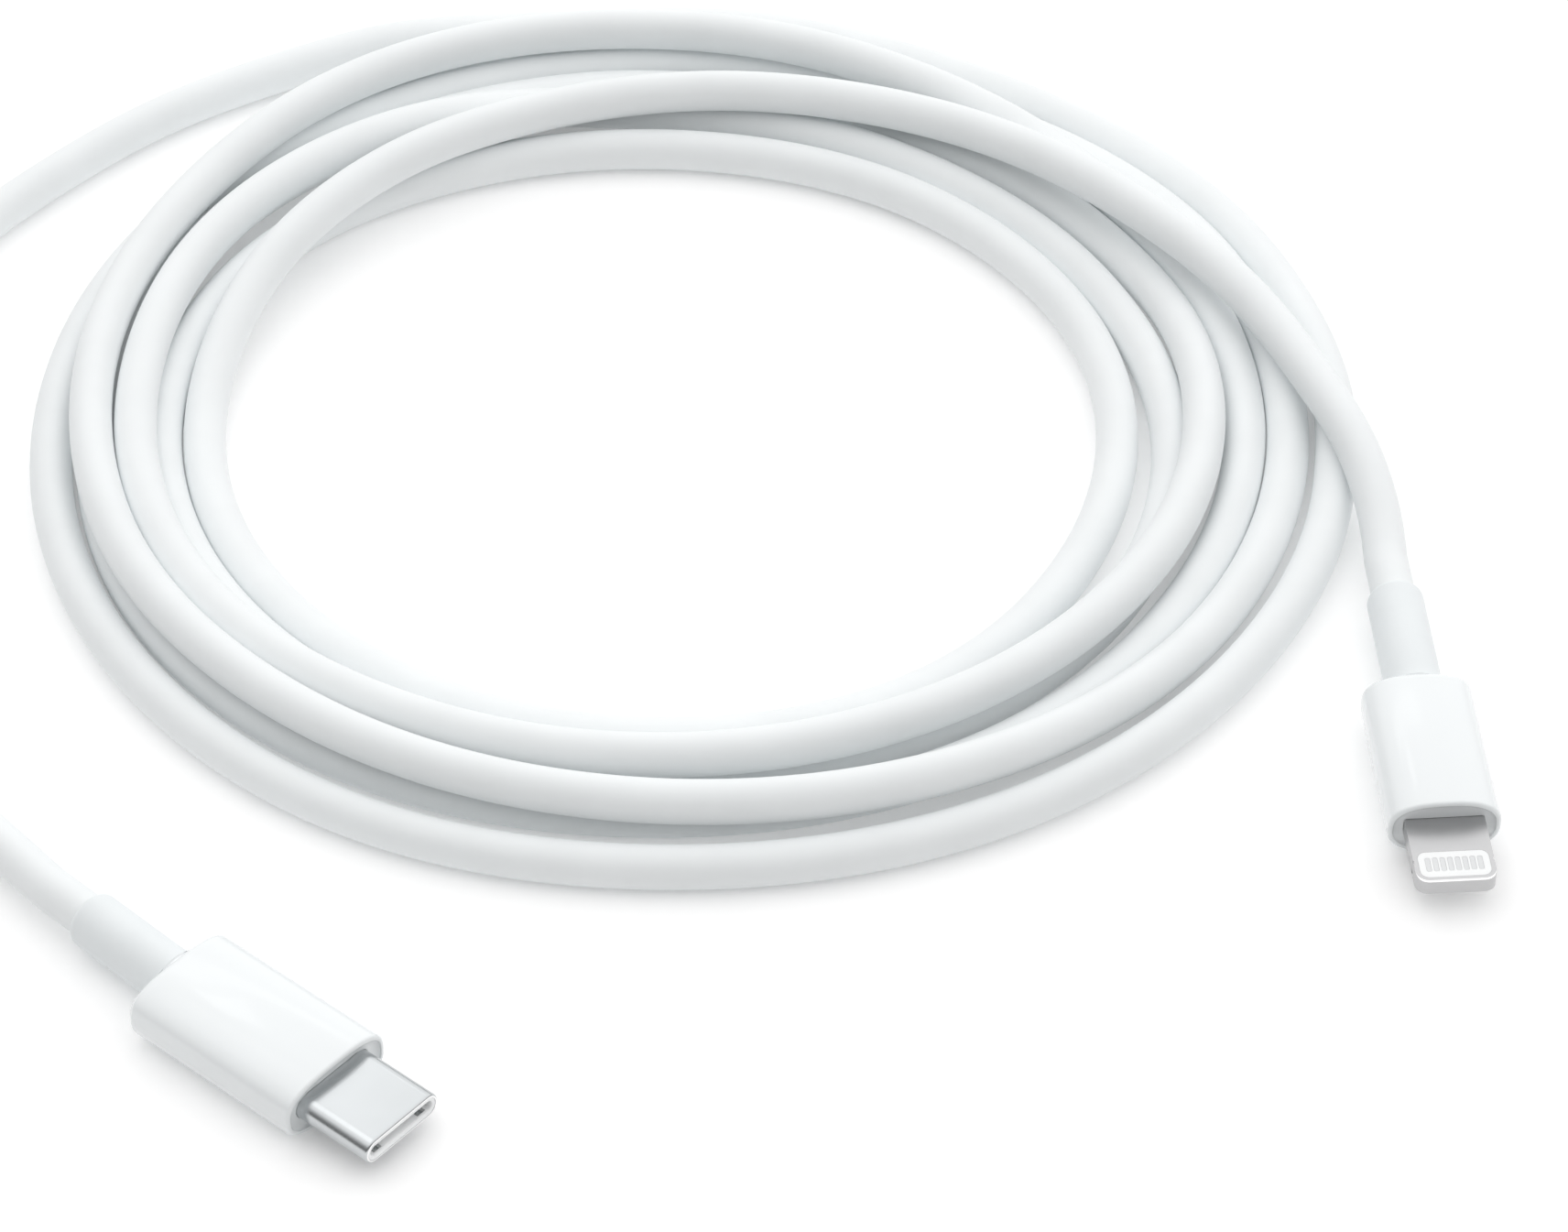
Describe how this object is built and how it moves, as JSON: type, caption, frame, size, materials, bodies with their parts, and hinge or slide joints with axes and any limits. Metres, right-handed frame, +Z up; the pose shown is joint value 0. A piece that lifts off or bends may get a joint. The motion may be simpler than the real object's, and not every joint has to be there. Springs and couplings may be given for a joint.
{
  "type": "charging cable",
  "caption": "Coiled white charging cable with an oval-shell plug on one end and a flat blade plug on the other, each with a moulded boot and strain sleeve.",
  "frame": {"origin": "midway between the two plugs, on the surface that the cable lies on", "axes": "+Z up from the surface; +X from the oval plug's side towards the blade plug's side; +Y from the plugs towards the coil"},
  "size_m": [0.1462, 0.15, 0.009],
  "materials": {
    "cord_jacket": "satin white elastomer jacket",
    "plug_boot": "polished white moulding",
    "strain_sleeve": "soft matt white elastomer",
    "oval_steel": "satin drawn stainless steel",
    "mouth_plastic": "light grey moulding",
    "gold_contact": "gold plated",
    "blade_steel": "fine blasted steel with polished edges",
    "blade_plastic": "smooth white moulding",
    "contact_pad": "satin pale plating",
    "tinned_metal": "tinned sheet",
    "circuit_board": "solder mask",
    "chip_resin": "moulded resin",
    "wire_red": "wire insulation",
    "wire_black": "wire insulation",
    "wire_green": "wire insulation",
    "wire_white": "wire insulation"
  },
  "bodies": {
    "root": {"cord_coil": "cord_jacket", "cord_tail_oval": "cord_jacket", "cord_tail_blade": "cord_jacket", "oval_boot": "plug_boot", "oval_sleeve": "strain_sleeve", "oval_ferrule": "tinned_metal", "blade_boot": "plug_boot", "blade_sleeve": "strain_sleeve", "blade_ferrule": "tinned_metal", "oval_shell": "oval_steel", "oval_insulator": "mouth_plastic", "oval_contact_upper_1": "gold_contact", "oval_contact_upper_2": "gold_contact", "oval_contact_upper_3": "gold_contact", "oval_contact_upper_4": "gold_contact", "oval_contact_upper_5": "gold_contact", "oval_contact_upper_6": "gold_contact", "oval_contact_upper_7": "gold_contact", "oval_contact_lower_1": "gold_contact", "oval_contact_lower_2": "gold_contact", "oval_contact_lower_3": "gold_contact", "oval_contact_lower_4": "gold_contact", "oval_contact_lower_5": "gold_contact", "oval_latch_left": "tinned_metal", "oval_latch_right": "tinned_metal", "oval_board": "circuit_board", "oval_marker_chip": "chip_resin", "oval_can_upper": "tinned_metal", "oval_can_lower": "tinned_metal", "blade_frame": "blade_steel", "blade_insert": "blade_plastic", "blade_contact_upper_1": "contact_pad", "blade_contact_upper_2": "contact_pad", "blade_contact_upper_3": "contact_pad", "blade_contact_upper_4": "contact_pad", "blade_contact_upper_5": "contact_pad", "blade_contact_upper_6": "contact_pad", "blade_contact_upper_7": "contact_pad", "blade_contact_upper_8": "contact_pad", "blade_contact_lower_1": "contact_pad", "blade_contact_lower_2": "contact_pad", "blade_contact_lower_3": "contact_pad", "blade_contact_lower_4": "contact_pad", "blade_contact_lower_5": "contact_pad", "blade_contact_lower_6": "contact_pad", "blade_contact_lower_7": "contact_pad", "blade_contact_lower_8": "contact_pad", "blade_board": "circuit_board", "blade_controller_chip": "chip_resin", "blade_can_upper": "tinned_metal", "blade_can_lower": "tinned_metal", "oval_wire_power": "wire_red", "oval_wire_ground": "wire_black", "oval_wire_data_plus": "wire_green", "oval_wire_data_minus": "wire_white", "blade_wire_power": "wire_red", "blade_wire_ground": "wire_black", "blade_wire_data_plus": "wire_green", "blade_wire_data_minus": "wire_white"}
  },
  "joints": []
}
